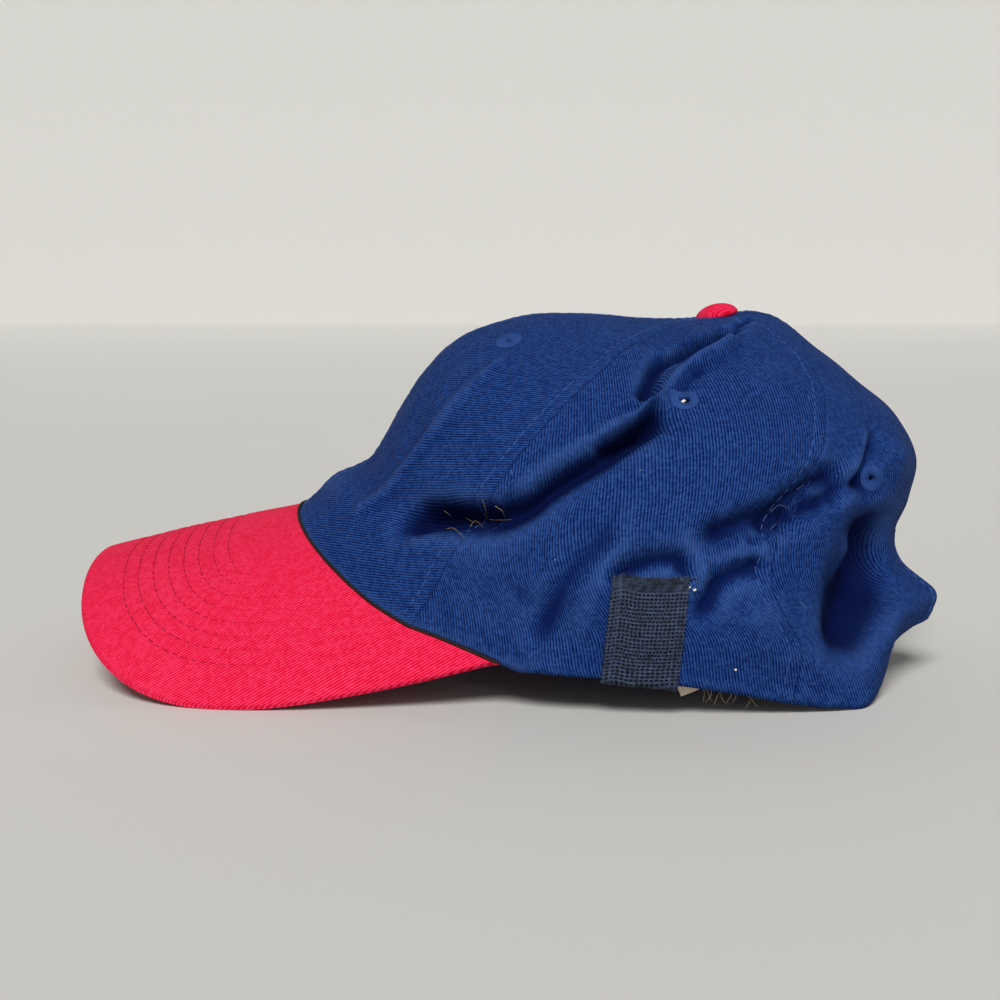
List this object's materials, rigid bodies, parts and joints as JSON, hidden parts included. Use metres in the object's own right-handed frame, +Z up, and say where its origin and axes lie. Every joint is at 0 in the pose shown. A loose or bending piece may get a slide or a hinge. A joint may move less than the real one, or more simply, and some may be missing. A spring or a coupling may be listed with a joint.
{
  "type": "snapback cap",
  "caption": "Panelled cloth cap with a curved visor, covered top button, stitched eyelets and a woven side loop, lying with a creased and partly collapsed crown.",
  "frame": {"origin": "bottom centre of the bounding box, on the surface the cap rests on", "axes": "+X towards the wearer's left, -Y towards the visor's front, +Z up"},
  "size_m": [0.1742, 0.2582, 0.1103],
  "materials": {
    "crown_twill": "brushed cotton twill, creased",
    "visor_twill": "cotton twill over a board",
    "piping": "dark woven cord",
    "button_cloth": "cotton twill over a metal button",
    "eyelet_thread": "satin-stitched thread",
    "loop_elastic": "ribbed woven elastic",
    "label_cloth": "plain woven tape, blank",
    "strap_plastic": "plain moulded band"
  },
  "bodies": {
    "root": {"visor": "visor_twill", "visor_piping": "piping", "crown_front_left": "crown_twill", "crown_front_right": "crown_twill", "crown_side_left": "crown_twill", "crown_side_right": "crown_twill", "crown_back_left": "crown_twill", "crown_back_right": "crown_twill", "crown_button": "button_cloth", "eyelet_front_left": "eyelet_thread", "eyelet_front_right": "eyelet_thread", "eyelet_side_left": "eyelet_thread", "eyelet_side_right": "eyelet_thread", "eyelet_back_left": "eyelet_thread", "eyelet_back_right": "eyelet_thread", "side_loop": "loop_elastic", "care_label": "label_cloth", "snap_strap": "strap_plastic"}
  },
  "joints": []
}
